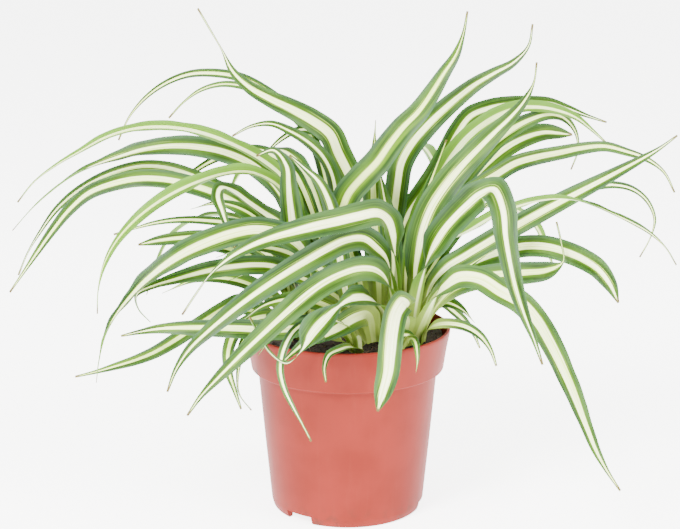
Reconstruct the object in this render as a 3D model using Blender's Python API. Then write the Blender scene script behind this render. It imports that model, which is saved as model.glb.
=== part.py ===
"""A spider plant in a round plastic nursery pot: pot, potting soil, short stems and single leaves.

Origin: on the pot's axis, at the surface that the pot stands on. +Z is up and -Y is the front.
"""

import math

import bpy
import numpy as np

MM = 0.001
GAP = 0.3  # clearance between pieces that touch, mm

# Pot, mm
POT_HEIGHT = 108.5
RIM_RADIUS = 60.0
LIP_BOTTOM = 84.5  # height of the lip's lower edge
LIP_BOTTOM_RADIUS = 56.3
BODY_TOP_RADIUS = 52.4
BODY_BOTTOM_RADIUS = 44.6
WALL = 1.4
FLOOR_UNDERSIDE = 5.4
FOOT_INNER_RADIUS = 40.6
POT_SEGMENTS = 60
DRAIN_HOLES = 6
DRAIN_HOLE_RADIUS = 4.0
DRAIN_CIRCLE_RADIUS = 26.0
FIRST_DRAIN_HOLE = 33.0  # degrees, counted from +X
NOTCHES = 3  # gaps in the foot ring that let water run out
NOTCH_WIDTH = 18.0
NOTCH_HEIGHT = 5.0
FIRST_NOTCH = 230.5  # degrees, counted from +X

# Soil, mm
SOIL_EDGE = 99.0
SOIL_CENTRE = 101.0
SOIL_SEGMENTS = 40

# Leaves, mm
SHEATH_INNER_RADIUS = 3.0
SHEATH_STEP = 1.15  # from one layer of leaf bases to the next
SHEATH_SPREAD = 38.0  # degrees, half of the arc that a leaf base wraps
NEIGHBOUR_ANGLE = 80.0  # degrees within which two bases lie over each other
LEAF_THICKNESS = 0.5
TAPER_START = 0.45  # share of the length where the blade begins to narrow
TAPER = 1.9  # power of the narrowing, higher for a fuller blade
BLUNT_TAPER = 7
TIP_HALF_WIDTH = 0.6
TIP_THICKNESS = 0.35
CHANNEL = 0.34  # depth of a blade's V, as a part of its half width
STATION_SPACING = 12.0
STATIONS = (8, 18)  # fewest and most cross-sections in a leaf

# The short stems that the leaves grow from: place on the soil, mm
STEMS = {
    "left": (-22, 4),
    "back_left": (-8, 32),
    "back_right": (24, 30),
    "right": (32, -6),
    "front": (6, -27),
}

# One row per leaf, from the innermost of its stem outwards:
# name, stem, full width, turn, twist, tail, blunt, route.
# The route is a few points in mm that the leaf passes above its base.
# turn is how far the blade's upper face leans to the front, from 0 to 1, or to the back below 0.
# twist is the roll in degrees that the outer half adds, and tail the share of it that is thin as a thread.
LEAVES = (
    ("tall_leaf_1", "left", 16, 0.9, 0, 0.02, False,
     ((-12, 3, 145), (0, 0, 186), (14, -2, 202), (29, -5, 223), (41, -5, 236), (54, -3, 256),
      (63, 0, 271), (67, 3, 290))),
    ("left_leaf_8", "left", 10, -0.5, 100, 0.03, False,
     ((-26, 5, 160), (-35, 2, 186), (-56, -8, 201), (-84, -17, 197), (-111, -24, 183), (-130, -28, 164),
      (-139, -31, 144), (-141, -32, 124))),
    ("left_leaf_4", "left", 9, -0.6, 0, 0.05, False,
     ((-26, 14, 160), (-37, 20, 192), (-67, 22, 212), (-100, 20, 222), (-132, 16, 220), (-160, 15, 206),
      (-180, 14, 193), (-192, 13, 179))),
    ("left_leaf_13", "left", 14, 0.9, 0, 0, False,
     ((-29, -1, 147), (-32, -6, 173), (-34, -9, 197), (-36, -9, 208), (-43, -6, 213), (-52, -3, 209))),
    ("left_leaf_12", "left", 12, 0.5, 0, 0, False,
     ((-33, 5, 158), (-54, 0, 179), (-68, -8, 191), (-73, -20, 191), (-68, -33, 178), (-62, -38, 162))),
    ("front_left_leaf_2", "left", 14, 0.8, 80, 0, False,
     ((-21, -16, 144), (-31, -26, 165), (-55, -36, 173), (-92, -52, 162), (-119, -60, 140), (-133, -62, 118),
      (-138, -62, 93))),
    ("left_leaf_16", "left", 6, 0.8, 0, 0, False,
     ((-33, 9, 146), (-45, 8, 163), (-77, 3, 170), (-105, -2, 171), (-134, -6, 164))),
    ("left_leaf_17", "left", 8, 0.85, 0, 0, True,
     ((-37, -1, 139), (-52, -4, 156), (-78, -9, 163), (-101, -13, 163), (-119, -15, 160))),
    ("front_left_leaf_3", "left", 11, 0.8, 60, 0, False,
     ((-31, -15, 138), (-43, -25, 150), (-70, -39, 152), (-102, -50, 146), (-114, -52, 142), (-117, -48, 134),
      (-110, -42, 122))),
    ("front_left_leaf_8", "left", 9, 0.85, 0, 0, False,
     ((-43, -2, 116), (-58, -8, 125), (-67, -16, 125), (-83, -26, 117), (-110, -40, 103),
      (-139, -47, 95), (-152, -48, 92))),
    ("front_left_leaf_10", "left", 8, 0.7, 0, 0, False,
     ((-35, -19, 116), (-48, -31, 122), (-62, -42, 117), (-67, -46, 99), (-60, -45, 72))),
    ("small_leaf_2", "left", 4, 0.6, 60, 0, False,
     ((-38, -18, 112), (-46, -28, 118), (-54, -38, 114), (-60, -46, 100), (-61, -48, 84),
      (-54, -47, 72))),

    ("left_leaf_3", "back_left", 9, 0.7, 0, 0, False,
     ((-8, 28, 155), (-7, 24, 182), (-12, 20, 201), (-24, 15, 215), (-47, 10, 226), (-66, 6, 219))),
    ("left_leaf_2", "back_left", 7, 0.8, 0, 0, False,
     ((-9, 36, 160), (-20, 42, 210), (-43, 48, 234), (-66, 52, 243), (-81, 52, 242), (-94, 52, 236),
      (-107, 52, 223))),
    ("left_leaf_1", "back_left", 7, 0.8, 0, 0, False,
     ((-10, 42, 160), (-22, 52, 212), (-55, 60, 242), (-84, 62, 249), (-107, 62, 244), (-128, 62, 228),
      (-139, 62, 208))),
    ("left_leaf_9", "back_left", 8, 0.7, 0, 0, False,
     ((-16, 43, 148), (-31, 52, 188), (-51, 56, 202), (-68, 58, 201), (-86, 58, 194), (-114, 58, 174))),
    ("back_leaf_1", "back_left", 13, 0, 0, 0, False,
     ((-12, 50, 140), (-24, 68, 182), (-42, 86, 198), (-64, 102, 186), (-82, 112, 154))),
    ("left_leaf_5", "back_left", 13, 0.8, 100, 0.03, False,
     ((-22, 31, 148), (-39, 33, 182), (-67, 36, 203), (-108, 38, 208), (-147, 37, 198), (-169, 36, 187),
      (-188, 34, 171), (-200, 33, 158))),
    ("left_leaf_7", "back_left", 11, 0.85, 0, 0, False,
     ((-28, 28, 138), (-54, 28, 167), (-81, 28, 183), (-117, 27, 191), (-149, 25, 184), (-168, 22, 168),
      (-200, 17, 124))),
    ("left_leaf_6", "back_left", 8, 0.8, 0, 0.03, False,
     ((-29, 38, 133), (-53, 45, 166), (-80, 48, 183), (-114, 50, 194), (-144, 49, 189), (-172, 47, 172),
      (-192, 45, 145), (-200, 44, 128))),
    ("back_leaf_2", "back_left", 11, 0, 30, 0, False,
     ((-6, 54, 132), (-10, 76, 168), (-16, 96, 172), (-22, 112, 154), (-26, 119, 118))),
    ("back_leaf_5", "back_left", 12, 0, 0, 0, False,
     ((-28, 50, 122), (-54, 70, 150), (-86, 88, 156), (-114, 100, 138), (-130, 106, 100))),

    ("tall_leaf_4", "back_right", 15, 0.85, 0, 0.1, False,
     ((16, 30, 150), (6, 30, 182), (-4, 29, 202), (-10, 26, 217), (-26, 23, 229), (-44, 21, 238),
      (-63, 21, 250), (-72, 22, 266), (-86, 25, 290))),
    ("tall_leaf_2", "back_right", 14, 0.9, 0, 0.02, False,
     ((26, 26, 150), (31, 18, 200), (39, 16, 215), (52, 15, 230), (72, 14, 247), (89, 14, 257),
      (100, 14, 264), (104, 14, 273), (105, 14, 282))),
    ("left_leaf_15", "back_right", 8, 0.7, 0, 0, False,
     ((15, 37, 150), (-3, 39, 200), (-22, 39, 218), (-42, 40, 210), (-53, 41, 195))),
    ("right_leaf_12", "back_right", 12, -0.75, 0, 0, False,
     ((36, 28, 150), (55, 32, 191), (75, 42, 216), (104, 54, 229), (136, 66, 223), (160, 74, 204))),
    ("right_leaf_11", "back_right", 13, 0.85, 0, 0, False,
     ((32, 38, 155), (46, 44, 180), (56, 47, 195), (71, 58, 220), (85, 64, 227), (105, 74, 229),
      (127, 82, 228), (142, 86, 222), (162, 90, 215))),
    ("back_leaf_3", "back_right", 14, 0, 0, 0, False,
     ((27, 48, 145), (34, 68, 190), (44, 86, 202), (56, 104, 186), (64, 116, 150))),
    ("right_leaf_13", "back_right", 12, 0.75, 0, 0.05, False,
     ((44, 34, 140), (60, 40, 172), (73, 42, 193), (90, 50, 210), (106, 58, 219), (121, 66, 223),
      (133, 72, 220), (143, 77, 205), (139, 79, 187))),
    ("right_leaf_14", "back_right", 13, 0.75, 0, 0, True,
     ((42, 46, 132), (66, 58, 172), (92, 70, 198), (118, 84, 209), (142, 98, 206))),
    ("back_leaf_4", "back_right", 12, 0, -30, 0, False,
     ((42, 54, 122), (66, 72, 152), (94, 90, 162), (120, 106, 148), (136, 116, 114))),
    ("right_leaf_10", "back_right", 6, 0.7, 0, 0, False,
     ((54, 36, 124), (76, 40, 145), (103, 42, 162), (148, 46, 182), (176, 52, 178), (188, 56, 158),
      (180, 58, 136))),

    ("inner_leaf", "right", 6, 0.6, 0, 0, False,
     ((34, 0, 140), (38, 4, 162), (45, 7, 184), (57, 12, 216))),
    ("tall_leaf_3", "right", 16, 0.9, 0, 0.04, False,
     ((40, -6, 150), (46, -8, 177), (60, -8, 199), (80, -6, 220), (96, -4, 236), (104, -3, 249),
      (106, -2, 262))),
    ("front_left_leaf_1", "right", 15, 0.75, 0, 0.1, False,
     ((27, -10, 152), (24, -20, 172), (18, -30, 181), (10, -38, 182), (-4, -45, 180), (-26, -60, 178),
      (-46, -70, 174), (-62, -76, 167), (-74, -80, 157), (-88, -83, 137))),
    ("right_leaf_9", "right", 10, 0.85, 30, 0, False,
     ((45, 0, 150), (62, 4, 180), (83, 14, 193), (100, 24, 201), (118, 31, 204), (150, 40, 208),
      (172, 45, 202), (188, 48, 194), (198, 50, 178))),
    ("front_left_leaf_4", "right", 14, 0.85, 0, 0, False,
     ((24, -16, 146), (15, -28, 162), (4, -38, 169), (-16, -51, 163), (-53, -70, 143), (-86, -81, 116),
      (-97, -82, 94))),
    ("right_leaf_8", "right", 9, -0.5, 100, 0.03, False,
     ((48, 5, 147), (70, 1, 165), (95, -6, 180), (124, -12, 186), (153, -12, 176), (177, -8, 162),
      (189, -6, 146))),
    ("right_leaf_4", "right", 16, 0.85, 0, 0, False,
     ((42, -16, 140), (51, -36, 170), (65, -60, 193), (74, -77, 203), (79, -86, 200), (81, -100, 179),
      (85, -110, 159), (90, -114, 144), (96, -117, 129), (99, -118, 120))),
    ("front_left_leaf_5", "right", 14, 0.85, 0, 0, False,
     ((24, -24, 136), (14, -37, 151), (-2, -50, 152), (-20, -64, 145), (-45, -80, 126), (-74, -94, 100),
      (-85, -98, 86))),
    ("right_leaf_7", "right", 12, 0.8, 0, 0, False,
     ((50, -7, 137), (75, -2, 155), (115, 8, 176), (156, 16, 196), (179, 20, 208), (192, 22, 217))),
    ("right_leaf_6", "right", 13, 0.85, 0, 0, True,
     ((52, 4, 130), (72, 9, 144), (99, 14, 152), (116, 12, 153), (129, 8, 150), (141, 2, 145),
      (150, -2, 137), (157, -4, 123))),
    ("right_leaf_5", "right", 13, 0.9, 0, 0.2, True,
     ((54, -10, 128), (70, -9, 138), (88, -7, 141), (111, -4, 142), (124, 0, 145), (124, 4, 156),
      (121, 6, 169))),
    ("front_left_leaf_6", "right", 15, 0.65, 60, 0.3, True,
     ((18, -27, 127), (6, -50, 138), (-6, -68, 137), (-20, -82, 125), (-30, -88, 112), (-42, -82, 116),
      (-53, -76, 134))),
    ("right_leaf_3", "right", 13, 0.85, 0, 0, False,
     ((46, -24, 124), (51, -38, 138), (59, -46, 147), (68, -52, 151), (83, -60, 144), (97, -66, 136),
      (108, -72, 120), (118, -78, 100), (127, -82, 78), (136, -85, 57), (147, -88, 40))),
    ("front_leaf_1", "right", 13, 0.8, 0, 0, True,
     ((32, -32, 124), (31, -44, 134), (26, -56, 130), (23, -68, 116), (22, -72, 104), (16, -73, 80))),
    ("right_leaf_2", "right", 6, 0.7, 0, 0, False,
     ((44, 6, 117), (52, 9, 121), (60, 11, 116), (68, 13, 109), (75, 15, 99), (79, 16, 90))),
    ("right_leaf_1", "right", 6, 0.7, 0, 0, False,
     ((47, -20, 113), (61, -28, 117), (70, -34, 115), (78, -40, 109), (83, -44, 97))),

    ("left_leaf_14", "front", 11, 0.8, 0, 0, False,
     ((-4, -19, 150), (-9, -11, 178), (-16, -7, 194), (-25, -6, 203), (-33, -6, 210))),
    ("front_left_leaf_9", "front", 5, 0.6, 0, 0, False,
     ((1, -42, 118), (-14, -58, 128), (-30, -72, 124), (-36, -81, 102), (-20, -82, 66))),
    ("front_left_leaf_7", "front", 11, 0.85, 0, 0, False,
     ((-6, -33, 116), (-18, -42, 120), (-38, -51, 120), (-66, -55, 122), (-102, -52, 121), (-126, -46, 115))),
    ("small_leaf_1", "front", 9, 0.85, 0, 0, False,
     ((-9, -43, 117), (-18, -57, 118), (-26, -66, 115), (-36, -72, 107))),
    ("front_leaf_2", "front", 6, 0.3, 0, 0, False,
     ((6, -44, 106), (0, -55, 111), (-12, -66, 108), (-12, -71, 96))),
)

LEAF_GREEN = (0.13, 0.30, 0.07)
SOIL_BROWN = (0.035, 0.025, 0.018)
STEM_GREEN = (0.45, 0.55, 0.24)
POT_PINK = (0.67, 0.26, 0.21)


def clear_scene():
    for obj in list(bpy.data.objects):
        bpy.data.objects.remove(obj)


def make_material(name, colour, roughness):
    material = bpy.data.materials.new(name)
    material.use_nodes = True
    shader = material.node_tree.nodes["Principled BSDF"]
    shader.inputs["Base Color"].default_value = (*colour, 1)
    shader.inputs["Roughness"].default_value = roughness
    shader.inputs["Metallic"].default_value = 0
    material.diffuse_color = (*colour, 1)
    return material


def add_object(name, points, faces, material):
    """A mesh object from points in mm, with faces whose corners run anticlockwise seen from outside."""
    mesh = bpy.data.meshes.new(name)
    mesh.from_pydata((np.asarray(points) * MM).tolist(), [], faces)
    mesh.shade_smooth()
    mesh.set_sharp_from_angle(angle=math.radians(35))
    mesh.materials.append(material)
    obj = bpy.data.objects.new(name, mesh)
    bpy.context.scene.collection.objects.link(obj)
    return obj


def turned(profile, segments):
    """Points and faces of a profile of (radius, height) turned about Z, from the axis under it to the axis over it."""
    angles = np.linspace(0, 2 * math.pi, segments, endpoint=False)
    points, rings = [], []
    for radius, height in profile:
        start = len(points)
        if radius == 0:
            points.append((0, 0, height))
            rings.append([start] * segments)
        else:
            points += [(radius * math.cos(a), radius * math.sin(a), height) for a in angles]
            rings.append(list(range(start, start + segments)))
    faces = []
    for lower, upper in zip(rings, rings[1:]):
        for i in range(segments):
            j = (i + 1) % segments
            corners = [lower[i], lower[j], upper[j], upper[i]]
            faces.append([c for k, c in enumerate(corners) if c not in corners[:k]])
    return points, faces


def pot_profile():
    """From the underside's centre, out over the foot, up the outside, over the rim and down the inside."""
    rim = RIM_RADIUS
    wall_slope = (BODY_TOP_RADIUS - BODY_BOTTOM_RADIUS) / (LIP_BOTTOM - 6)
    floor_top = FLOOR_UNDERSIDE + WALL
    return (
        (0, FLOOR_UNDERSIDE),
        (FOOT_INNER_RADIUS - 1, FLOOR_UNDERSIDE),
        (FOOT_INNER_RADIUS, 0),
        (BODY_BOTTOM_RADIUS - 1.8, 0),
        (BODY_BOTTOM_RADIUS - 0.6, 1.2),
        (BODY_BOTTOM_RADIUS, 3.6),
        (BODY_BOTTOM_RADIUS + wall_slope * 30, 33),
        (BODY_TOP_RADIUS, LIP_BOTTOM - 2.5),
        (BODY_TOP_RADIUS + 1.2, LIP_BOTTOM - 0.4),
        (LIP_BOTTOM_RADIUS - 0.5, LIP_BOTTOM),
        (LIP_BOTTOM_RADIUS, LIP_BOTTOM + 1.2),
        (rim - 0.5, POT_HEIGHT - 2.5),
        (rim, POT_HEIGHT - 1.0),
        (rim - 0.7, POT_HEIGHT),
        (rim - 1.6, POT_HEIGHT - 0.2),
        (rim - 2.0, POT_HEIGHT - 1.5),
        (LIP_BOTTOM_RADIUS - WALL, LIP_BOTTOM + 1.5),
        (BODY_TOP_RADIUS - WALL, LIP_BOTTOM - 3),
        (BODY_BOTTOM_RADIUS - WALL, floor_top + 2),
        (BODY_BOTTOM_RADIUS - WALL - 1.5, floor_top),
        (0, floor_top),
    )


def cutter(name, points, faces):
    obj = add_object(name, points, faces, None)
    obj.hide_render = True
    obj.display_type = "WIRE"
    return obj


def drain_cutter():
    """Upright rods, one through each drain hole."""
    points, faces = [], []
    for hole in range(DRAIN_HOLES):
        around = math.radians(FIRST_DRAIN_HOLE + 360 * hole / DRAIN_HOLES)
        rod, rod_faces = turned(((0, -5), (DRAIN_HOLE_RADIUS, -5), (DRAIN_HOLE_RADIUS, 12), (0, 12)), 16)
        centre = (DRAIN_CIRCLE_RADIUS * math.cos(around), DRAIN_CIRCLE_RADIUS * math.sin(around), 0)
        faces += [[corner + len(points) for corner in face] for face in rod_faces]
        points += (np.array(rod) + centre).tolist()
    return cutter("drain_cutter", points, faces)


def notch_cutter():
    """Blocks that cross the foot ring, one for each notch, from below it up to the notch's height."""
    points, faces = [], []
    block = ((3, 2, 1, 0), (4, 5, 6, 7), (0, 1, 5, 4), (1, 2, 6, 5), (2, 3, 7, 6), (3, 0, 4, 7))
    for notch in range(NOTCHES):
        around = math.radians(FIRST_NOTCH + 360 * notch / NOTCHES)
        out = np.array((math.cos(around), math.sin(around), 0))
        side = np.array((-math.sin(around), math.cos(around), 0)) * NOTCH_WIDTH / 2
        near, far = out * (FOOT_INNER_RADIUS - 3), out * (BODY_BOTTOM_RADIUS + 3)
        corners = [near - side, far - side, far + side, near + side]
        top = NOTCH_HEIGHT
        faces += [[corner + len(points) for corner in face] for face in block]
        points += [(c[0], c[1], z) for z in (-3, top) for c in corners]
    return cutter("notch_cutter", points, faces)


def make_pot():
    points, faces = turned(pot_profile(), POT_SEGMENTS)
    pot = add_object("pot", points, faces, make_material("pot", POT_PINK, 0.45))
    for name, tool in (("drain holes", drain_cutter()), ("foot notches", notch_cutter())):
        cut = pot.modifiers.new(name, "BOOLEAN")
        cut.operation = "DIFFERENCE"
        cut.solver = "EXACT"
        cut.object = tool


def make_soil():
    """The soil fills the pot to just below its rim, a gap clear of the wall and the floor."""
    floor = FLOOR_UNDERSIDE + WALL + GAP
    inside = WALL + GAP + 0.1
    profile = (
        (0, floor),
        (BODY_BOTTOM_RADIUS - inside - 1.6, floor),
        (BODY_BOTTOM_RADIUS - inside, floor + 2.2),
        (BODY_TOP_RADIUS - inside - 0.1, LIP_BOTTOM - 3),
        (LIP_BOTTOM_RADIUS - inside - 0.1, LIP_BOTTOM + 1.8),
        (LIP_BOTTOM_RADIUS - inside + 1.4, SOIL_EDGE),
        (LIP_BOTTOM_RADIUS - inside - 8, SOIL_EDGE + 0.6),
        (24, SOIL_CENTRE - 0.4),
        (0, SOIL_CENTRE),
    )
    points, faces = turned(profile, SOIL_SEGMENTS)
    add_object("potting_soil", points, faces, make_material("peat soil", SOIL_BROWN, 0.95))


def make_stems():
    """A low blunt knob inside each rosette of leaves."""
    material = make_material("stem", STEM_GREEN, 0.5)
    radius = SHEATH_INNER_RADIUS - 0.7
    base = SOIL_CENTRE + GAP
    profile = ((0, base), (radius, base), (radius, base + 5), (radius * 0.6, base + 8), (0, base + 9))
    for name, (x, y) in STEMS.items():
        points, faces = turned(profile, 12)
        add_object("stem_" + name, np.array(points) + (x, y, 0), faces, material)


def sheath_layers():
    """A leaf's base lies one layer outside every earlier base that it would cover."""
    layers, placed = {}, []
    for name, stem, *_, route in LEAVES:
        out = np.array(route[1][:2], float) - STEMS[stem]
        around = math.degrees(math.atan2(out[1], out[0]))
        below = [
            layer
            for other, angle, layer in placed
            if other == stem and abs((around - angle + 180) % 360 - 180) < NEIGHBOUR_ANGLE
        ]
        layers[name] = (math.radians(around), 1 + max(below, default=-1))
        placed.append((stem, around, layers[name][1]))
    return layers


def smooth_path(route):
    """A Catmull-Rom curve through the route, read at even steps along its length."""
    route = np.array(route, float)
    ends = np.vstack([2 * route[0] - route[1], route, 2 * route[-1] - route[-2]])
    step = np.linspace(0, 1, 12, endpoint=False)[:, None]
    runs = [
        0.5 * (2 * b + (c - a) * step + (2 * a - 5 * b + 4 * c - d) * step**2 + (3 * b - a - 3 * c + d) * step**3)
        for a, b, c, d in zip(ends, ends[1:], ends[2:], ends[3:])
    ]
    fine = np.vstack(runs + [route[-1:]])
    along = np.concatenate([[0], np.cumsum(np.linalg.norm(np.diff(fine, axis=0), axis=1))])
    count = int(np.clip(along[-1] / STATION_SPACING + 2, *STATIONS))
    even = np.linspace(0, along[-1], count)
    return np.stack([np.interp(even, along, fine[:, axis]) for axis in range(3)], axis=1)


def unit(vectors):
    return vectors / np.linalg.norm(vectors, axis=-1, keepdims=True)


def ease(share):
    share = np.clip(share, 0, 1)
    return share * share * (3 - 2 * share)


def leaf_frames(path, outward, turn, twist):
    """For each station: the direction of the leaf, of its upper face and of its side."""
    along = np.linspace(0, 1, len(path))[:, None]
    ahead = unit(np.gradient(path, axis=0))
    reach = max(2, len(path) // 3)
    index = np.arange(len(path))
    heading = path[np.minimum(index + reach, len(path) - 1)] - path[np.maximum(index - reach, 0)]
    heading = unit(heading * (1, 1, 0) + outward * 0.01)
    side = np.stack([-heading[:, 1], heading[:, 0], 0 * heading[:, 0]], axis=1)
    face = unit(np.cross(ahead, side))
    front = np.array((0, -math.copysign(1, turn), 0.0))
    front = front - ahead * (ahead @ front)[:, None]
    share = abs(turn) * ease(along / 0.4)
    face = unit(face * (1 - share) + front * share)
    inward = -outward + ahead * (ahead @ outward)[:, None]
    share = 1 - ease(along / 0.22)
    face = unit(face * (1 - share) + unit(inward) * share)
    roll = math.radians(twist) * ease((along - 0.45) / 0.55)
    face = face * np.cos(roll) + np.cross(ahead, face) * np.sin(roll)
    return ahead, face, np.cross(face, ahead)


def leaf_widths(count, width, base_half_width, tail, blunt):
    """Half width: the base's, widening to the blade's, then falling to the tip."""
    along = np.linspace(0, 1, count)
    blade = base_half_width + (width / 2 - base_half_width) * ease((along - 0.05) / 0.3)
    fall = np.clip((along - TAPER_START) / (1 - TAPER_START - tail), 0, 1)
    return np.maximum(blade * (1 - fall ** (BLUNT_TAPER if blunt else TAPER)), TIP_HALF_WIDTH)


def make_leaf(row, around, layer, material):
    """A blade with a V-shaped section: two edges, the groove of the midrib and the keel under it."""
    name, stem, width, turn, twist, tail, blunt, route = row
    outward = np.array((math.cos(around), math.sin(around), 0))
    radius = SHEATH_INNER_RADIUS + SHEATH_STEP * layer
    base = np.array((*STEMS[stem], SOIL_CENTRE + GAP)) + outward * radius
    path = smooth_path((base, *route))
    ahead, face, side = leaf_frames(path, outward, turn, twist)
    spread = math.radians(SHEATH_SPREAD)
    base_half = min(width * 0.4, radius * math.sin(spread))
    half = leaf_widths(len(path), width, base_half, tail, blunt)
    wrap = radius - math.sqrt(radius**2 - base_half**2)
    share = ease(np.linspace(0, 1, len(path)) / 0.3)
    depth = wrap * (1 - share) + half * CHANNEL * share
    keel = TIP_THICKNESS + (LEAF_THICKNESS - TIP_THICKNESS) * np.clip(half / 2, 0, 1)
    sections = np.stack(
        [
            path - side * half[:, None] + face * depth[:, None],
            path - face * keel[:, None],
            path + side * half[:, None] + face * depth[:, None],
            path,
        ],
        axis=1,
    )
    last = len(path) * 4 - 4
    faces = [[0, 3, 1], [2, 1, 3], [last, last + 1, last + 3], [last + 2, last + 3, last + 1]]
    for station in range(len(path) - 1):
        for k in range(4):
            a, b = station * 4 + k, station * 4 + (k + 1) % 4
            # both sides of the blade split from its edge, so that they can't pass through each other
            if k % 2 == 0:
                faces += [[a, b, b + 4], [a, b + 4, a + 4]]
            else:
                faces += [[a, b, a + 4], [b, b + 4, a + 4]]
    add_object(name, sections.reshape(-1, 3), faces, material)


def make_leaves():
    material = make_material("leaf", LEAF_GREEN, 0.4)
    layers = sheath_layers()
    for row in LEAVES:
        make_leaf(row, *layers[row[0]], material)


def main():
    clear_scene()
    make_pot()
    make_soil()
    make_stems()
    make_leaves()


main()
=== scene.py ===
# A striped spider plant in a plastic nursery pot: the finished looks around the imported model.
import math

import bmesh
import bpy
import numpy as np
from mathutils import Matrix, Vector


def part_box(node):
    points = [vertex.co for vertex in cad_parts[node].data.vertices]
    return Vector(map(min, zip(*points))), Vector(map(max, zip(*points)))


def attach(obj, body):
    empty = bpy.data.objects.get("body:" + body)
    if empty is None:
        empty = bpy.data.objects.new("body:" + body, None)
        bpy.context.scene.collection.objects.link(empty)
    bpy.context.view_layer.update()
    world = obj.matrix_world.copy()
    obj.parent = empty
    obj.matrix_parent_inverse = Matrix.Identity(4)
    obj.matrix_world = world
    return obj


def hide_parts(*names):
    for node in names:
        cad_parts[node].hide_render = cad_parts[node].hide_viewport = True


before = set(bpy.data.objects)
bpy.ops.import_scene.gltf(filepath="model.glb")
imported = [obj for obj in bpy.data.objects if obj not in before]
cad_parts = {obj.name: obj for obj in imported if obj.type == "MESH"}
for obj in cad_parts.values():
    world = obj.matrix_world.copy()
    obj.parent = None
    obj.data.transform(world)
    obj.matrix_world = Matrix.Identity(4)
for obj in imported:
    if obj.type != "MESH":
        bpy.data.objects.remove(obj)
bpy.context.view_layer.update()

mm = 0.001
nodeNames = sorted(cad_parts)
stemNames = [name for name in nodeNames if name.startswith("stem_")]
leafNames = [name for name in nodeNames if "leaf" in name]
stemPlaces = np.array([[(low[k] + high[k]) / 2 for k in (0, 1)] for low, high in map(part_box, stemNames)])
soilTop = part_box("potting_soil")[1].z
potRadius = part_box("pot")[1].x
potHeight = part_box("pot")[1].z


def easeIn(share):
    # 0 below 0, 1 above 1, and between them three squares less two cubes, a smooth step
    share = np.clip(share, 0, 1)
    return share * share * (3 - 2 * share)


def unitRows(vectors):
    # each row divided by its length
    return vectors / np.maximum(np.linalg.norm(vectors, axis=-1, keepdims=True), 1e-12)


def smoothRows(rows, count):
    # a Catmull-Rom curve through the rows, read at count even steps from the first row to the last
    padded = np.concatenate([2 * rows[:1] - rows[1:2], rows, 2 * rows[-1:] - rows[-2:-1]])
    place = np.linspace(0, len(rows) - 1, count)
    start = np.minimum(place.astype(int), len(rows) - 2)
    step = (place - start).reshape(-1, *[1] * (rows.ndim - 1))
    a, b, c, d = (padded[start + k] for k in range(4))
    return 0.5 * (2 * b + (c - a) * step + (2 * a - 5 * b + 4 * c - d) * step**2
                  + (3 * b - a - 3 * c + d) * step**3)


def softNoise(points, size, seed, waves=24):
    # a sum of cosine waves with random directions and phases and lengths near size, from about -1 to 1
    random = np.random.default_rng(seed)
    directions = unitRows(random.normal(size=(waves, points.shape[-1])))
    pace = 2 * math.pi / (size * random.uniform(0.6, 1.7, waves))
    phase = random.uniform(0, 2 * math.pi, waves)
    return np.cos(points @ (directions * pace[:, None]).T + phase).sum(-1) * math.sqrt(2 / waves) * 0.6


def meshPiece(name, points, faces, material, attributes=None, sharp=40):
    # a mesh object with its vector attributes; edges bent by more than sharp degrees stay hard
    mesh = bpy.data.meshes.new(name)
    mesh.from_pydata(points.reshape(-1, 3).tolist(), [], [list(face) for face in faces])
    for key, values in (attributes or {}).items():
        layer = mesh.attributes.new(key, "FLOAT_VECTOR", "POINT")
        layer.data.foreach_set("vector", values.astype(np.float32).ravel())
    mesh.shade_smooth()
    mesh.set_sharp_from_angle(angle=math.radians(sharp))
    mesh.materials.append(material)
    piece = bpy.data.objects.new(name, mesh)
    bpy.context.scene.collection.objects.link(piece)
    return piece


def ringFaces(rows, columns):
    # quads between neighbouring rows of a grid whose columns close into rings, and a cap on each end
    row, column = np.meshgrid(np.arange(rows - 1), np.arange(columns), indexing="ij")
    after = (column + 1) % columns
    quads = np.stack([row * columns + column, (row + 1) * columns + column,
                      (row + 1) * columns + after, row * columns + after], axis=-1).reshape(-1, 4).tolist()
    last = (rows - 1) * columns
    return quads + [list(range(columns)), list(range(last + columns - 1, last - 1, -1))]


def finishPiece(piece, replaced=None):
    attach(piece, "root")
    if replaced:
        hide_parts(replaced)


def linearColour(hexColour):
    # sRGB hex to linear: divided by 12.92 near black, a 2.4 power curve above it
    values = [int(hexColour[k:k + 2], 16) / 255 for k in (1, 3, 5)]
    return (*[v / 12.92 if v <= 0.04045 else ((v + 0.055) / 1.055) ** 2.4 for v in values], 1)


def addNode(tree, kind, sockets=None, **settings):
    # One node: its settings, then for each socket a number, a hex colour or an output to link. It gives
    # back its outputs. A MapRange's sockets: 0 the value, 1 and 2 its range, 3 and 4 the range it gets.
    node = tree.nodes.new("ShaderNode" + kind)
    for key, value in settings.items():
        setattr(node, key, value)
    for key, value in (sockets or {}).items():
        if isinstance(value, bpy.types.NodeSocket):
            tree.links.new(value, node.inputs[key])
        else:
            node.inputs[key].default_value = linearColour(value) if isinstance(value, str) else value
    return node.outputs


def newMaterial(name, **values):
    material = bpy.data.materials.new(name)
    material.use_nodes = True
    shader = material.node_tree.nodes["Principled BSDF"]
    for key, value in values.items():
        shader.inputs[key.replace("_", " ")].default_value = value
    return material, material.node_tree, shader


def paintLayers(tree, colour, layers):
    # Lays each colour over the ones before it. Where it shows is an output, or else a pattern, the pattern's
    # values where the layer starts and where it is full, and how strong it is there.
    for layer, shown in layers:
        if isinstance(shown, tuple):
            shown = addNode(tree, "MapRange", dict(zip((0, 1, 2, 4), shown)),
                            interpolation_type="SMOOTHSTEP")[0]
        colour = addNode(tree, "Mix", {0: shown, 6: colour, 7: layer}, data_type="RGBA")[2]
    return colour


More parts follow.
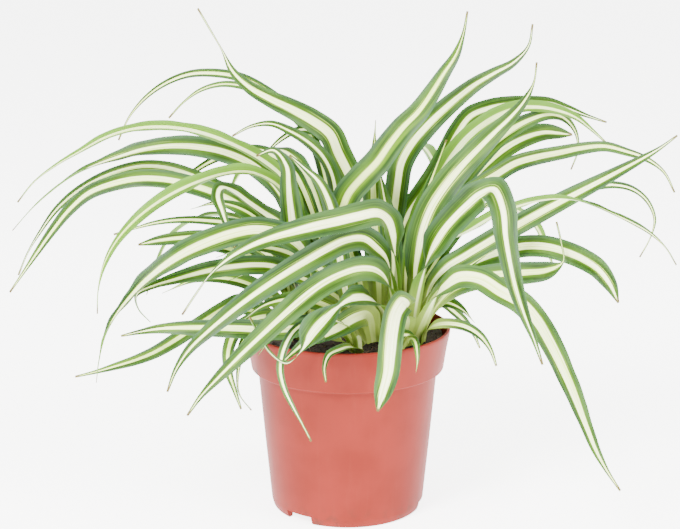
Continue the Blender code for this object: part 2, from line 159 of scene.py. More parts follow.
def coverShader(tree, shader, colour, pattern, strength, depth):
    # the colour, and a pattern as fine relief
    tree.links.new(colour, shader.inputs["Base Color"])
    bump = addNode(tree, "Bump", {"Height": pattern, "Strength": strength, "Distance": depth})[0]
    tree.links.new(bump, shader.inputs["Normal"])


leafColours = {
    "cream": "#f8ffd0",        # middle stripe, where the leaf has no chlorophyll
    "creamShade": "#c6d868",   # green tint that shows through the stripe
    "green": "#304f0d",        # margins
    "deepGreen": "#162a0b",
    "brightGreen": "#557806",  # beside the stripe
    "paintedSheenGreen": "#4e6f30",    # painted sheen: pale patches that stand in for soft reflections on the blade
    "paintedSheenBlue": "#33493a",        # painted sheen: a bluish-grey tint along the margins
    "under": "#5f8a1e",        # paler underside
    "sheath": "#8a9c44",       # base of the leaf, near the soil
    "dryTip": "#54452c",
    "veinWidth": 0.55 * mm,    # veins run 0.5 to 0.6 mm apart
    "veinLength": 60 * mm,
    "veinDepth": 0.12 * mm,
    "bandWidth": 2.2 * mm,     # groups of veins that share a tone
    "bandLength": 90 * mm,
    "patchWidth": 7 * mm,
    "patchLength": 40 * mm,
    "stripeSway": 0.12,        # how far the stripe wanders, as a share of the half width
    "stripeFray": 0.16,        # how far single veins reach over its edge
    "stripeTip": 0.72,         # the stripe's share of the blade shrinks to this at the tip
    "sheathLength": 46 * mm,
    "roughness": 0.42,
}


def leafMaterial():
    # Living spider plant leaf: a thin waxy skin gives a soft sheen, and some light glows through.
    # bladeShare is the place across from -1 to 1, the place along from 0 to 1, and 1 on the underside.
    # bladePlace is the place in metres. bladeKind is the stripe's half width, the brightness and the strength
    # of the painted bluish sheen on the margins.
    look = leafColours
    material, tree, shader = newMaterial(
        "living leaf, waxy", IOR=1.42, Roughness=look["roughness"], Specular_IOR_Level=0.14,
        Subsurface_Weight=0.2, Subsurface_Scale=1.2 * mm, Subsurface_Radius=(0.7, 1.0, 0.25))
    shares, place, kinds = (addNode(tree, "Attribute", attribute_name=name)["Vector"]
                            for name in ("bladeShare", "bladePlace", "bladeKind"))
    across, along, under = addNode(tree, "SeparateXYZ", {0: shares})
    stripeHalf, bright, waxy = addNode(tree, "SeparateXYZ", {0: kinds})
    reach = addNode(tree, "SeparateXYZ", {0: place})[1]

    patterns = []
    for name, detail in (("vein", 2.0), ("band", 1.0), ("patch", 1.0)):
        pace = (1 / look[name + "Width"], 1 / look[name + "Length"], 1)
        drawnOut = addNode(tree, "VectorMath", {0: place, 1: pace}, operation="MULTIPLY")[0]
        patterns.append(addNode(tree, "TexNoise", {"Vector": drawnOut, "Scale": 1.0, "Detail": detail,
                                "Roughness": 0.6})[0])
    veins, bands, sheenPatches = patterns

    # offset is the distance from the middle, outside that from the stripe's edge, inside the same frayed
    sway, fray = look["stripeSway"], look["stripeFray"]
    swayed = addNode(tree, "Math", {0: bands, 1: sway, 2: across}, operation="MULTIPLY_ADD")[0]
    centred = addNode(tree, "Math", {0: swayed, 1: sway / 2}, operation="SUBTRACT")[0]
    offset = addNode(tree, "Math", {0: centred}, operation="ABSOLUTE")[0]
    taper = addNode(tree, "MapRange", {0: along, 1: 0.55, 2: 1.0, 3: 1.0, 4: look["stripeTip"]},
                    interpolation_type="SMOOTHSTEP")[0]
    half = addNode(tree, "Math", {0: stripeHalf, 1: taper}, operation="MULTIPLY")[0]
    outside = addNode(tree, "Math", {0: offset, 1: half}, operation="SUBTRACT")[0]
    frayed = addNode(tree, "Math", {0: veins, 1: fray, 2: -fray / 2}, operation="MULTIPLY_ADD")[0]
    inside = addNode(tree, "Math", {0: frayed, 1: outside}, operation="SUBTRACT")[0]
    stripe = addNode(tree, "MapRange", {0: inside, 1: -0.035, 2: 0.045}, interpolation_type="SMOOTHSTEP")[0]

    nearStripe = addNode(tree, "MapRange", {0: outside, 1: 0.30, 2: 0.05, 4: 0.75},
                         interpolation_type="SMOOTHSTEP")[0]
    showsUnder = addNode(tree, "MapRange", {0: stripe, 3: 0.55, 4: 0.28}, interpolation_type="SMOOTHSTEP")[0]
    underside = addNode(tree, "Math", {0: under, 1: showsUnder}, operation="MULTIPLY")[0]
    lowPart = addNode(tree, "MapRange", {0: along, 1: 0.6, 2: 0.25, 4: 0.8},
                      interpolation_type="SMOOTHSTEP")[0]
    tinted = addNode(tree, "Math", {0: bright, 1: 0.8}, operation="MULTIPLY")[0]
    cream = paintLayers(tree, look["cream"], (
        (look["creamShade"], (veins, 0.42, 0.72, 1.0)),
        (look["creamShade"], tinted)))
    colour = paintLayers(tree, look["deepGreen"], (
        (look["green"], (veins, 0.35, 0.68, 1.0)),
        (look["brightGreen"], (bands, 0.45, 0.75, bright)),
        # painted sheen: pale patches stand in for the leaf's soft reflections
        (look["paintedSheenGreen"], (sheenPatches, 0.45, 0.7, 0.45)),
        (look["brightGreen"], (outside, 0.26, 0.0, 0.55)),
        # painted sheen: a bluish-grey tint towards the margins, as strong as waxy says
        (look["paintedSheenBlue"], (offset, 0.55, 1.0, waxy)),
        (look["creamShade"], (veins, 0.60, 0.70, nearStripe)),  # single pale veins
        (cream, stripe),
        (look["under"], underside),
        (look["sheath"], (reach, look["sheathLength"], 10 * mm, lowPart)),
        (look["dryTip"], (along, 0.972, 0.992, 1.0))))
    coverShader(tree, shader, colour, veins, 0.35, look["veinDepth"])
    roughness = addNode(tree, "MapRange", {0: veins, 1: 0.3, 2: 0.7, 3: look["roughness"] - 0.06,
                        4: look["roughness"] + 0.08}, interpolation_type="SMOOTHSTEP")[0]
    tree.links.new(roughness, shader.inputs["Roughness"])
    return material


potColours = {
    "plastic": "#6f241c",
    "worn": "#672018",
    "dust": "#7c382e",
    "mark": "#3d2a22",
    "darkSpot": (-51.5 * mm, -21 * mm, 86 * mm),  # a small dark spot under the lip
    "darkSpotSize": 3.4 * mm,
    "mottle": 26 * mm,      # cloudiness of recycled plastic
    "grain": 1.2 * mm,      # texture of the mould
    "grainDepth": 0.1 * mm,
    "speck": 5 * mm,        # splashes of soil at the foot
    "splashHeight": 16 * mm,
    "drawLine": 3 * mm,     # faint upright lines from the mould
    "drawStretch": 0.06,
    "roughness": 0.46,
}


def potMaterial():
    # injection-moulded polypropylene, terracotta colour: satin, slightly cloudy, scuffed at the foot
    look = potColours
    material, tree, shader = newMaterial(
        "moulded polypropylene, terracotta", IOR=1.49, Roughness=look["roughness"], Specular_IOR_Level=0.06,
        Subsurface_Weight=0.1, Subsurface_Scale=2 * mm, Subsurface_Radius=(1.0, 0.4, 0.3))
    place = addNode(tree, "TexCoord")["Object"]
    height = addNode(tree, "SeparateXYZ", {0: place})[2]
    upright = addNode(tree, "VectorMath", {0: place, 1: (1, 1, look["drawStretch"])},
                      operation="MULTIPLY")[0]
    cloud, grain, speck, lines = (
        addNode(tree, "TexNoise", {"Vector": vector, "Scale": 1 / look[size], "Detail": detail})[0]
        for vector, size, detail in ((place, "mottle", 3.0), (place, "grain", 2.0), (place, "speck", 4.0),
                                     (upright, "drawLine", 3.0)))
    spotDistance = addNode(tree, "VectorMath", {0: place, 1: look["darkSpot"]}, operation="DISTANCE")["Value"]
    splashed = addNode(tree, "MapRange", {0: height, 1: look["splashHeight"], 2: 1 * mm, 4: 0.5},
                       interpolation_type="SMOOTHSTEP")[0]
    colour = paintLayers(tree, look["plastic"], (
        (look["worn"], (cloud, 0.35, 0.7, 1.0)),
        (look["dust"], (lines, 0.50, 0.85, 0.12)),
        (look["mark"], (speck, 0.5, 0.68, splashed)),
        # a small dark round spot under the lip, at the left front
        (look["mark"], (spotDistance, look["darkSpotSize"], 0.4 * look["darkSpotSize"], 0.85))))
    coverShader(tree, shader, colour, grain, 0.12, look["grainDepth"])
    roughness = addNode(tree, "MapRange", {0: lines, 1: 0.3, 2: 0.75, 3: look["roughness"] - 0.02,
                        4: look["roughness"] + 0.04})[0]
    tree.links.new(roughness, shader.inputs["Roughness"])
    return material


soilColours = {
    "peat": "#1d1511",
    "dryPeat": "#3b2d24",
    "fibre": "#6b5238",
    "grain": 1.6 * mm,
    "grainDepth": 0.8 * mm,
    "roughness": 0.92,
}


def soilMaterial(name, dark, light):
    # damp peat, loose: matt crumbs, darker where they are wet
    look = soilColours
    material, tree, shader = newMaterial(name, IOR=1.4, Roughness=look["roughness"])
    place = addNode(tree, "TexCoord")["Object"]
    grain = addNode(tree, "TexNoise", {"Vector": place, "Scale": 1 / look["grain"], "Detail": 4.0,
                    "Roughness": 0.7})[0]
    dry = addNode(tree, "MapRange", {0: grain, 1: 0.38, 2: 0.68})[0]
    colour = paintLayers(tree, look[dark], [(look[light], dry)])
    coverShader(tree, shader, colour, grain, 0.8, look["grainDepth"])
    return material


stemColours = {
    "flesh": "#c5cf92",
    "green": "#9fb25f",
    "cloud": 2 * mm,
}


def stemMaterial():
    # pale fleshy stem: smooth, a little translucent
    look = stemColours
    material, tree, shader = newMaterial("living stem, fleshy", IOR=1.4, Roughness=0.45,
                                         Subsurface_Weight=0.3, Subsurface_Scale=1.5 * mm)
    place = addNode(tree, "TexCoord")["Object"]
    cloud = addNode(tree, "TexNoise", {"Vector": place, "Scale": 1 / look["cloud"], "Detail": 3.0})[0]
    tree.links.new(paintLayers(tree, look["flesh"], [(look["green"], cloud)]), shader.inputs["Base Color"])
    return material


leafShape = {
    "stations": 84,          # cross-sections along a blade
    "sideColumns": 13,       # points across each face of a blade
    "thickness": 0.42 * mm,
    "marginThickness": 0.14 * mm,
    "midribRounding": 0.30,  # how wide the soft bottom of the V is, as a share of the half width
    "sheathShare": 0.16,     # the part of the length, from the base, that is rounded into a sheath
    "fullWidth": 6 * mm,     # half width from which waves and ribs have their full height
    "rib": 0.05 * mm,        # height of the lengthwise ribs
    "ribs": 9,               # ribs on each half
    "wave": 0.55 * mm,       # height of the waves in the margins
    "waveLength": 34 * mm,
    "wavy": {"right_leaf_3": 2.4, "right_leaf_6": 1.8, "front_left_leaf_1": 1.5, "front_left_leaf_2": 1.6,
             "left_leaf_13": 1.6, "front_left_leaf_3": 1.6},
    "stripe": (0.21, 0.34),  # half of the cream stripe, as a share of the half width
    "wideStripe": {"front_leaf_1": 0.48, "low_leaf_1": 0.42, "right_leaf_3": 0.42},
    "bright": {"tall_leaf_1": 0.9, "front_left_leaf_1": 0.15, "front_left_leaf_3": 0.3,
               "front_left_leaf_4": 0.2, "front_left_leaf_6": 0.1, "front_leaf_1": 0.1, "small_leaf_1": 0.7,
               "right_leaf_3": 0.4, "right_leaf_4": 0.05},
    # a twist makes this blade look narrow halfway: pairs of place along it and share of its packed width
    "twisted": {"front_left_leaf_6": ((0.0, 1.0), (0.4, 0.9), (0.5, 0.2), (0.6, 1.1), (0.7, 1.6),
                                      (0.8, 2.2), (0.9, 3.6), (1.0, 2.4))},
    "rise": 20,              # degrees that each half of an added blade rises from its groove
    "baseWidth": 0.6,        # width of an added blade's base, as a share of its greatest width
    "routeStations": 20,
}

# more leaves of the same rosettes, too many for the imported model. Each row: half the blade's width, how far
# its upper face turns to the front (0 up, 1 front), and its route from the soil to the tip, in millimetres
moreLeaves = {
    "low_leaf_1": (7.0, 0.8, ((15, -27, 106), (12, -31, 122), (5, -39, 124), (-5, -46, 120),
                              (-16, -52, 115), (-26, -56, 110))),
    "low_leaf_2": (4.5, 0.5, ((38, 4, 103), (46, 2, 116), (56, 0, 122), (66, -2, 119), (74, -4, 111))),
    "low_leaf_3": (3.5, 0.7, ((26, -18, 103), (30, -25, 109), (35, -31, 111), (40, -34, 109))),
    "low_leaf_4": (5.0, 0.6, ((-18, -8, 103), (-30, -19, 116), (-44, -30, 119), (-57, -38, 112),
                              (-64, -42, 101))),
    "low_leaf_5": (2.2, 0.7, ((30, -32, 103), (34, -42, 112), (37, -54, 114), (38, -62, 107),
                              (37, -65, 99))),
    "fill_leaf_1": (5.5, 0.7, ((14, -16, 103), (6, -16, 124), (-6, -18, 139), (-22, -20, 151),
                               (-40, -22, 159), (-58, -24, 160), (-74, -26, 155))),
    "fill_leaf_2": (5.0, 0.7, ((11, -12, 103), (2, -12, 121), (-12, -13, 133), (-30, -16, 142),
                               (-50, -20, 146), (-68, -24, 141))),
    "fill_leaf_3": (5.5, 0.7, ((10, -21, 103), (0, -23, 118), (-13, -27, 128), (-29, -33, 133),
                               (-46, -39, 131), (-60, -43, 122))),
    "fill_leaf_4": (4.5, 0.6, ((8, -26, 103), (-2, -30, 113), (-13, -35, 119), (-27, -41, 121),
                               (-41, -47, 115), (-50, -51, 105))),
    "fill_leaf_5": (7.5, 0.9, ((19, 8, 103), (18, 9, 135), (16, 10, 160), (15, 10, 184), (15, 9, 206),
                               (16, 8, 228))),
    "fill_leaf_6": (6.5, 0.9, ((25, 4, 103), (27, 5, 134), (25, 6, 160), (21, 7, 184), (17, 8, 204))),
    "fill_leaf_7": (6.5, 0.9, ((14, 12, 103), (7, 14, 132), (-1, 15, 156), (-9, 16, 176), (-15, 17, 192))),
    "fill_leaf_8": (6.0, 0.9, ((6, 8, 103), (0, 10, 128), (-10, 12, 150), (-24, 14, 168), (-40, 16, 180))),
    "fill_leaf_9": (4.0, 0.7, ((35, 2, 103), (43, 3, 130), (55, 5, 151), (71, 7, 170), (90, 9, 187))),
    "fill_leaf_10": (3.5, 0.7, ((38, -6, 103), (49, -8, 127), (65, -10, 143), (84, -12, 157))),
    "fill_leaf_11": (3.2, 0.6, ((40, -2, 103), (52, -3, 122), (66, -5, 132), (82, -7, 134), (94, -8, 128))),
    "fill_leaf_12": (5.0, 0.7, ((-26, 2, 103), (-35, 1, 130), (-50, -1, 146), (-68, -3, 155),
                                (-88, -5, 156), (-106, -7, 149))),
    "fill_leaf_13": (5.0, 0.8, ((-23, 10, 103), (-31, 11, 135), (-43, 13, 158), (-57, 15, 172),
                                (-75, 17, 178), (-92, 18, 174))),
    "fill_leaf_14": (5.0, 0.6, ((-28, -2, 103), (-41, -6, 124), (-60, -10, 137), (-84, -14, 140),
                                (-106, -17, 132))),
    "fill_leaf_15": (5.0, 0.9, ((-20, 12, 103), (-24, 15, 140), (-32, 18, 168), (-44, 20, 188),
                                (-58, 21, 198))),
    "fill_leaf_16": (4.5, 0.5, ((-30, -4, 103), (-45, -11, 117), (-63, -17, 122), (-82, -21, 115))),
}


def leafRings(name):
    # the four corners of each cross-section of a packed leaf, from its base to its tip:
    # one margin, the keel below, the other margin and the groove above
    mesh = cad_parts[name].data
    points = np.empty(len(mesh.vertices) * 3, np.float32)
    mesh.vertices.foreach_get("co", points)
    corners = np.empty(len(mesh.loops), np.int32)
    mesh.loops.foreach_get("vertex_index", corners)
    points, index = np.unique(np.round(points.reshape(-1, 3).astype(float), 6), axis=0, return_inverse=True)
    triangles = index.reshape(-1)[corners].reshape(-1, 3)
    joined = np.zeros((len(points), len(points)), bool)
    for a, b in ((0, 1), (1, 2), (2, 0)):
        joined[triangles[:, a], triangles[:, b]] = True
        joined[triangles[:, b], triangles[:, a]] = True
    away = np.linalg.norm(points[:, None, :2] - stemPlaces[None, :, :], axis=2).min(1)
    ring = np.zeros(len(points), bool)
    ring[np.argsort(np.where(away < 30 * mm, points[:, 2], np.inf))[:4]] = True  # the base is low, by a stem
    seen, rings = ring.copy(), []
    while ring.any():
        rings.append(np.flatnonzero(ring))
        ring = joined[ring].any(0) & ~seen
        seen |= ring
    rings = points[np.array(rings)]
    apart = np.linalg.norm(rings[:, :, None] - rings[:, None], axis=3) + np.eye(4)
    middle = np.stack(np.unravel_index(apart.reshape(-1, 16).argmin(1), (4, 4)), axis=1)  # keel and groove
    row = np.arange(len(rings))
    isMiddle = np.zeros((len(rings), 4), bool)
    isMiddle[row[:, None], middle] = True
    edges = rings[~isMiddle].reshape(-1, 2, 3)
    middles = rings[isMiddle].reshape(-1, 2, 3)
    toEdges = np.linalg.norm(middles - edges.mean(1, keepdims=True), axis=2)
    groove = middles[row, toEdges.argmin(1)]
    keel = middles[row, toEdges.argmax(1)]
    ahead = unitRows(np.gradient(groove, axis=0))
    side = np.cross(groove - keel, ahead)
    flip = ((edges[:, 1] - edges[:, 0]) * side).sum(1) < 0
    edges[flip] = edges[flip][:, ::-1]
    return np.stack([edges[:, 0], keel, edges[:, 1], groove], axis=1)


def routeRings(halfWidth, turn, route):
    # Cross-sections like a packed leaf's, for an added one. The face points up and to the front, square to
    # the route, and each half of the blade rises from the groove by the same angle.
    look = leafShape
    groove = smoothRows(np.array(route, float) * mm, look["routeStations"])
    ahead = unitRows(np.gradient(groove, axis=0))
    face = np.array((0, -turn, 1.02 - turn)) + 0 * ahead
    face = unitRows(face - ahead * (face * ahead).sum(1, keepdims=True))
    side = np.cross(face, ahead)
    share = np.linspace(0, 1, len(groove))[:, None]
    widened = look["baseWidth"] + (1 - look["baseWidth"]) * easeIn(share / 0.3)
    half = halfWidth * mm * widened * (1 - 0.97 * easeIn((share - 0.4) / 0.6) ** 1.5)
    angle = math.radians(look["rise"])
    rise, reach = math.sin(angle) * half * face, math.cos(angle) * half * side
    keel = groove - face * look["thickness"]
    return np.stack([groove - reach + rise, keel, groove + reach + rise, groove], axis=1)


def bladeSurface(rings, number, wavy, twisted):
    # A blade on a grid of two parameters, along and across (u from -1 to 1).
    # A point is groove + u * half span + sag * v(u), where v is a V with a rounded bottom that turns into
    # a round sheath near the base, plus waves in the margins and ribs. The underside is the same surface
    # moved back by the leaf's thickness, which thins towards the margins.
    look = leafShape
    random = np.random.default_rng(number + 11)
    left, keel, right, groove = (smoothRows(rings[:, k], look["stations"])[:, None] for k in range(4))
    span = (right - left) / 2
    sag = (right + left) / 2 - groove
    face = unitRows(groove - keel)
    steps = np.linalg.norm(np.diff(groove[:, 0], axis=0), axis=1)
    reach = np.concatenate([[0], np.cumsum(steps)])[:, None]
    along = reach / reach[-1]
    width = np.interp(along, *np.transpose(twisted))[..., None]
    span, sag = span * width, sag * width
    half = np.linalg.norm(span, axis=2)
    u = np.sin(np.linspace(-1, 1, look["sideColumns"]) * math.pi / 2)[None, :]
    soft = look["midribRounding"]
    vee = (np.sqrt(u**2 + soft**2) - soft) / (math.sqrt(1 + soft**2) - soft)
    sheath = 1 - easeIn(along / look["sheathShare"])
    top = groove + span * u[..., None] + sag * (vee * (1 - sheath) + u**2 * sheath)[..., None]

    pace = 2 * math.pi / (look["waveLength"] * random.uniform(0.8, 1.3, 2))
    phase = random.uniform(0, 2 * math.pi, 4)
    swing = [np.sin(reach * pace[side] + phase[side])
             + 0.4 * np.sin(reach * pace[side] * overtone + phase[side + 2])
             for side, overtone in ((0, 2.3), (1, 2.1))]
    calm = easeIn((along - 0.12) / 0.2) * np.clip(half / look["fullWidth"], 0.15, 1)
    waves = look["wave"] * wavy * np.abs(u) ** 1.6 * np.where(u < 0, *swing) * calm
    ribs = look["rib"] * np.cos(u * math.pi * look["ribs"]) * np.clip(half / look["fullWidth"], 0, 1)
    top = top + face * (waves + ribs)[..., None]

    thick = look["marginThickness"] + (look["thickness"] - look["marginThickness"]) * (1 - u**4)
    thick = thick * np.clip(half / (2.2 * mm), 0.35, 1)
    bottom = top - face * thick[..., None]
    grid = np.concatenate([top, bottom[:, ::-1]], axis=1)
    shares = np.stack(np.broadcast_arrays(u, along, 0 * u), axis=-1)
    unders = np.stack(np.broadcast_arrays(u, along, 0 * u + 1), axis=-1)[:, ::-1]
    places = np.stack(np.broadcast_arrays(u * half, reach, 0 * u + number * 3.7), axis=-1)
    return grid, np.concatenate([shares, unders], axis=1), np.concatenate([places, places[:, ::-1]], axis=1)


def makeLeaf(name, number, material):
    look = leafShape
    random = np.random.default_rng(number + 101)
    packed = name not in moreLeaves
    rings = leafRings(name) if packed else routeRings(*moreLeaves[name])
    grid, shares, places = bladeSurface(rings, number, look["wavy"].get(name, 1.0),
                                        look["twisted"].get(name, ((0, 1), (1, 1))))
    stripe = look["wideStripe"].get(name, random.uniform(*look["stripe"]))
    bright = look["bright"].get(name, random.uniform(0.1, 0.75))
    if not packed:  # the inner leaves are yellower
        stripe, bright = stripe * 0.85, random.uniform(0.5, 0.95)
    kinds = np.zeros_like(places) + (stripe, bright, random.uniform(0.35, 0.9))
    attributes = {"bladeShare": shares, "bladePlace": places, "bladeKind": kinds}
    piece = meshPiece(name + "_blade", grid, ringFaces(*grid.shape[:2]), material, attributes, sharp=60)
    finishPiece(piece, name if packed else None)


potShape = {
    "columns": 192,
    "lipBottom": 84.5 * mm,
    "lipRadius": 56.3 * mm,
    "bodyTop": 52.4 * mm,
    "bodyBottom": 44.6 * mm,
    "wall": 1.4 * mm,
    "floorUnder": 5.4 * mm,
    "footInner": 40.6 * mm,
    "holes": 6,
    "holeRadius": 4 * mm,
    "holeCircle": 26 * mm,
    "firstHole": 33,         # degrees from +X
    "notches": 3,            # gaps in the foot ring
    "notchWidth": 18 * mm,
    "notchHeight": 5 * mm,
    "firstNotch": 230.5,     # degrees from +X
}


def roundedOutline(corners):
    # each corner (radius, height, rounding) becomes an arc of a Bezier curve with two legs of that length
    points = np.array([corner[:2] for corner in corners], float)
    outline = []
    for k, (radius, height, rounding) in enumerate(corners):
        here = points[k]
        if rounding == 0:
            outline.append(here)
            continue
        before = here + unitRows(points[k - 1] - here) * rounding
        after = here + unitRows(points[k + 1] - here) * rounding
        t = np.linspace(0, 1, 6)[:, None]
        outline += list(before * (1 - t)**2 + 2 * here * t * (1 - t) + after * t**2)
    return np.array(outline)


def turnedGrid(outline, columns):
    # an outline of (radius, height) turned about the Z axis
    angle = np.linspace(0, -2 * math.pi, columns, endpoint=False)
    return np.stack([outline[:, :1] * np.cos(angle), outline[:, :1] * np.sin(angle),
                     outline[:, 1:] + 0 * angle], axis=-1)


def potOutline():
    # under the floor, over the foot ring, up the outside, over the lip and down the inside to the floor
    look = potShape
    slope = (look["bodyTop"] - look["bodyBottom"]) / (look["lipBottom"] - 4 * mm)
    floorTop = look["floorUnder"] + look["wall"]
    rim, wall = potRadius, look["wall"]
    return roundedOutline([
        (0.4 * mm, look["floorUnder"], 0),
        (look["footInner"] - 1 * mm, look["floorUnder"], 0.6 * mm),
        (look["footInner"], 0, 0.3 * mm),
        (look["bodyBottom"] - 0.8 * mm, 0, 1.4 * mm),
        (look["bodyBottom"] + slope * 4 * mm, 4 * mm, 1.2 * mm),
        (look["bodyBottom"] + slope * 40 * mm, 40 * mm, 0),
        (look["bodyTop"], look["lipBottom"] - 1.6 * mm, 0.7 * mm),
        (look["bodyTop"] + 0.9 * mm, look["lipBottom"] + 0.1 * mm, 0.5 * mm),
        (look["lipRadius"] - 0.1 * mm, look["lipBottom"], 0.8 * mm),
        (look["lipRadius"] + 1.7 * mm, look["lipBottom"] + 12 * mm, 0),
        (rim, potHeight - 1.6 * mm, 0.7 * mm),
        (rim - 0.2 * mm, potHeight, 0.7 * mm),
        (rim - 1.7 * mm, potHeight, 0.6 * mm),
        (look["lipRadius"] - wall, look["lipBottom"] + 1.5 * mm, 1.0 * mm),
        (look["bodyTop"] - wall, look["lipBottom"] - 3 * mm, 1.0 * mm),
        (look["bodyBottom"] - wall, floorTop, 2.0 * mm),
        (0.4 * mm, floorTop, 0),
    ])


def ringOfCopies(shape, faces, count, first, distance, turned):
    # copies of a closed shape spaced evenly round the Z axis, each turned with its place where turned is 1
    around = np.radians(first + 360 * np.arange(count) / count)[:, None]
    cosine, sine = np.cos(around * turned), np.sin(around * turned)
    points = np.stack([shape[:, 0] * cosine - shape[:, 1] * sine + distance * np.cos(around),
                       shape[:, 0] * sine + shape[:, 1] * cosine + distance * np.sin(around),
                       shape[:, 2] + 0 * around], axis=-1)
    return points.reshape(-1, 3), [[corner + len(shape) * k for corner in face]
                                   for k in range(count) for face in faces]


def cutAway(piece, points, faces):
    # an exact Boolean takes the closed shape out of the piece, and the result is kept as its mesh
    mesh = bpy.data.meshes.new("cutter")
    mesh.from_pydata(points.tolist(), [], faces)
    tool = bpy.data.objects.new("cutter", mesh)
    bpy.context.scene.collection.objects.link(tool)
    cut = piece.modifiers.new("cut", "BOOLEAN")
    cut.operation, cut.solver, cut.object = "DIFFERENCE", "EXACT", tool
    bpy.context.view_layer.update()
    result = bpy.data.meshes.new_from_object(piece.evaluated_get(bpy.context.evaluated_depsgraph_get()))
    piece.modifiers.clear()
    piece.data = result
    bpy.data.objects.remove(tool)


def makePot(material):
    look = potShape
    grid = turnedGrid(potOutline(), look["columns"])
    piece = meshPiece("pot_body", grid, ringFaces(*grid.shape[:2]), material, sharp=50)
    rod = turnedGrid(np.array([(look["holeRadius"], -2 * mm), (look["holeRadius"], 12 * mm)]), 40)
    cutAway(piece, *ringOfCopies(rod.reshape(-1, 3), ringFaces(2, 40), look["holes"], look["firstHole"],
                                 look["holeCircle"], 0))
    block = np.array([(x, y, z) for x in (-1, 1) for y in (-1, 1) for z in (-1, 1)])
    block = block * (6 * mm, look["notchWidth"] / 2, look["notchHeight"])
    sides = ((0, 1, 3, 2), (4, 6, 7, 5), (0, 4, 5, 1), (2, 3, 7, 6), (0, 2, 6, 4), (1, 5, 7, 3))
    cutAway(piece, *ringOfCopies(block, sides, look["notches"], look["firstNotch"],
                                 (look["footInner"] + look["bodyBottom"]) / 2, 1))
    piece.data.set_sharp_from_angle(angle=math.radians(50))
    finishPiece(piece, "pot")


soilShape = {
    "columns": 150,
    "rows": 46,
    "hump": 1.1 * mm,        # height of the unevenness
    "bank": 3.6 * mm,        # the peat stands higher against the wall, mostly at the back right
    "bankTowards": 20,       # degrees from +X
    "crumbs": 420,
    "crumbSize": (0.7 * mm, 2.3 * mm),
    "fibres": 46,
    "fibreRadius": 0.22 * mm,
}


def soilHeight(x, y):
    # the level of the soil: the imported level, the bank, broad humps and small crumbs
    look = soilShape
    flat = np.stack([x, y], axis=-1)
    rise = look["bank"] * easeIn((np.hypot(x, y) - 38 * mm) / (16 * mm))
    rise = rise * (0.55 + 0.45 * np.cos(np.arctan2(y, x) - math.radians(look["bankTowards"])))
    return (soilTop - 1.2 * mm + rise + look["hump"] * 0.6 * softNoise(flat, 26 * mm, 1)
            + look["hump"] * 0.45 * softNoise(flat, 5 * mm, 2, 40))


def makeSoil(material, outer):
    # a turned block under a top whose grid of rings follows the soil's level
    look = soilShape
    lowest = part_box("potting_soil")[0].z
    radius = np.linspace(outer, 0.3 * mm, look["rows"])[:, None]
    top = turnedGrid(np.concatenate([radius, 0 * radius], axis=1), look["columns"])
    top[..., 2] = soilHeight(top[..., 0], top[..., 1])
    side = turnedGrid(np.array([(0.3 * mm, lowest), (potShape["bodyBottom"] - 3.8 * mm, lowest),
                                (potShape["bodyBottom"] - 2.2 * mm, lowest + 2.4 * mm),
                                (potShape["bodyTop"] - 2.2 * mm, potShape["lipBottom"] - 3.4 * mm),
                                (potShape["lipRadius"] - 2.2 * mm, potShape["lipBottom"] + 2.4 * mm)]),
                      look["columns"])
    grid = np.concatenate([side, top])
    piece = meshPiece("peat_block", grid, ringFaces(len(grid), look["columns"]), material)
    finishPiece(piece, "potting_soil")


def makeCrumbs(material, outer, random):
    # lumps of 20 faces, stretched and roughened, scattered evenly over the soil
    look = soilShape
    count = look["crumbs"]
    ball = bmesh.new()
    bmesh.ops.create_icosphere(ball, subdivisions=1, radius=1)
    lump = np.array([vertex.co for vertex in ball.verts])
    lumpFaces = np.array([[vertex.index for vertex in face.verts] for face in ball.faces])
    ball.free()
    distance = (outer - 2.5 * mm) * np.sqrt(random.uniform(0, 1, count))
    around = random.uniform(0, 2 * math.pi, count)
    x, y = distance * np.cos(around), distance * np.sin(around)
    smallest, largest = look["crumbSize"]
    size = smallest + (largest - smallest) * random.uniform(0, 1, count) ** 2
    stretch = random.uniform(0.6, 1.2, (count, 1, 3)) * size[:, None, None]
    rough = 1 + 0.28 * random.normal(size=(count, len(lump), 1))
    place = np.stack([x, y, soilHeight(x, y) + size * 0.1], axis=1)[:, None]
    crumbs = lump[None] * rough * stretch / 2 + place
    faces = (lumpFaces[None] + (np.arange(count) * len(lump))[:, None, None]).reshape(-1, 3)
    finishPiece(meshPiece("peat_crumbs", crumbs, faces, material))


def makeFibres(material, random):
    # thin tubes of five sides along bent paths on the soil
    count = soilShape["fibres"]
    start = random.uniform(-1, 1, (count, 1, 2)) * 33 * mm
    heading = random.uniform(0, 2 * math.pi, (count, 1))
    travel = np.linspace(0, 1, 8)[None, :] * random.uniform(6 * mm, 17 * mm, (count, 1))
    bend = heading + travel * random.uniform(-90, 90, (count, 1))
    path = start + np.stack([np.cos(bend), np.sin(bend)], axis=-1) * travel[..., None]
    height = soilHeight(path[..., 0], path[..., 1]) + 0.5 * mm
    centre = np.concatenate([path, height[..., None]], axis=-1)
    ahead = unitRows(np.gradient(centre, axis=1))
    side = unitRows(np.cross(ahead, (0, 0, 1)))
    turn = np.linspace(0, 2 * math.pi, 5, endpoint=False)[:, None]
    ring = side[:, :, None] * np.cos(turn) + np.cross(side, ahead)[:, :, None] * np.sin(turn)
    tubes = centre[:, :, None] + ring * soilShape["fibreRadius"]
    faces = [[corner + 40 * k for corner in face] for k in range(count) for face in ringFaces(8, 5)]
    finishPiece(meshPiece("peat_fibres", tubes, faces, material))


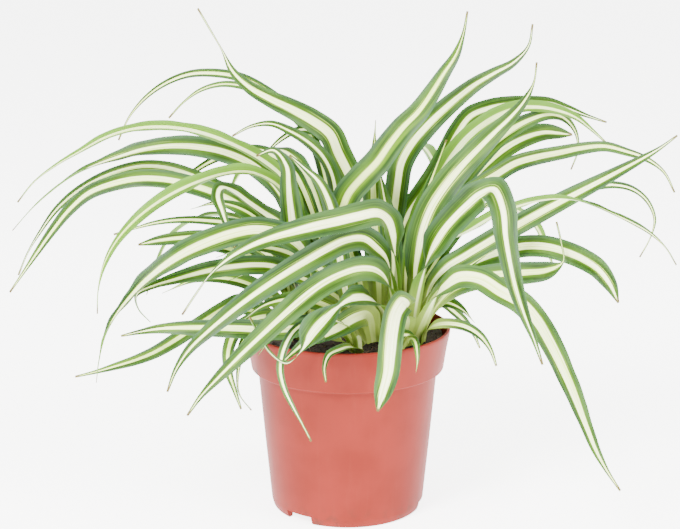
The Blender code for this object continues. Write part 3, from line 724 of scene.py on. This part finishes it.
def makeStem(name, place, material):
    # a blunt knob: a turned outline with shallow rings where old leaves were
    lowest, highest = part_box(name)
    radius = (highest.x - lowest.x) / 2 - 0.1 * mm
    share = np.linspace(0, 1, 22)
    width = radius * np.sqrt(np.clip(1 - share**4, 0, 1)) * (1 - 0.03 * np.cos(share * 34)) + 0.05 * mm
    height = lowest.z + 0.98 * (highest.z - lowest.z) * share
    grid = turnedGrid(np.stack([width, height], axis=1), 28) + (*place, 0)
    finishPiece(meshPiece(name + "_knob", grid, ringFaces(22, 28), material), name)


stageLook = {
    "floor": "#f4f4f2",
    "floorRadius": 7.0,
    "skyStrength": 1.8,
    "floorGlow": 4.6,        # a paper sweep lit from below
    "softboxes": {           # place, width across and watts
        "key softbox": ((-0.9, -1.3, 1.5), 0.8, 135),
        "fill softbox": ((1.4, -0.9, 1.0), 1.0, 55),
    },
    "aim": (0, 0, 0.15),
    "camera": (-0.0044, -0.9, 0.3557),
    "cameraTilt": 0.23,      # radians below level
    "lens": 84.52,
}


def makeStage():
    look = stageLook
    material = newMaterial("white paper sweep", Roughness=0.9, Base_Color=linearColour(look["floor"]),
                           Emission_Color=(1, 1, 1, 1), Emission_Strength=look["floorGlow"])[0]
    angle = np.linspace(0, 2 * math.pi, 96, endpoint=False)
    rim = np.stack([np.cos(angle), np.sin(angle), 0 * angle], axis=1) * look["floorRadius"]
    meshPiece("floor", rim, [range(96)], material)
    world = bpy.data.worlds.new("white studio")
    bpy.context.scene.world = world
    world.use_nodes = True
    background = world.node_tree.nodes["Background"]
    background.inputs["Color"].default_value = (1, 1, 1, 1)
    background.inputs["Strength"].default_value = look["skyStrength"]


def addSoftbox(name, place, size, watts):
    # a round lamp that is turned to face the plant
    light = bpy.data.lights.new(name, "AREA")
    light.shape, light.size, light.energy = "DISK", size, watts
    lamp = bpy.data.objects.new(name, light)
    bpy.context.scene.collection.objects.link(lamp)
    lamp.location = place
    aim = np.array(stageLook["aim"]) - np.array(place)
    down = math.acos(-aim[2] / np.linalg.norm(aim))
    lamp.rotation_euler = (down, 0, math.atan2(aim[1], aim[0]) - math.pi / 2)


def makeCamera():
    look = stageLook
    data = bpy.data.cameras.new("camera")
    data.sensor_width, data.lens, data.clip_end = 36, look["lens"], 50
    camera = bpy.data.objects.new("camera", data)
    bpy.context.scene.collection.objects.link(camera)
    camera.location = look["camera"]
    camera.rotation_euler = (math.pi / 2 - look["cameraTilt"], 0, 0)
    bpy.context.scene.camera = camera


makeCamera()
makeStage()
for name, (place, size, watts) in stageLook["softboxes"].items():
    addSoftbox(name, place, size, watts)
print("stage ready")
makePot(potMaterial())
print("pot ready")
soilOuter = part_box("potting_soil")[1].x - 0.5 * mm
soilRandom = np.random.default_rng(5)
makeSoil(soilMaterial("peat, damp", "peat", "dryPeat"), soilOuter)
makeCrumbs(soilMaterial("peat crumbs", "peat", "dryPeat"), soilOuter, soilRandom)
makeFibres(soilMaterial("peat fibres", "dryPeat", "fibre"), soilRandom)
print("soil ready")
stemLook = stemMaterial()
for name, place in zip(stemNames, stemPlaces):
    makeStem(name, place, stemLook)
leafLook = leafMaterial()
for number, name in enumerate([*leafNames, *moreLeaves]):
    makeLeaf(name, number, leafLook)
print("leaves ready:", len(leafNames) + len(moreLeaves))
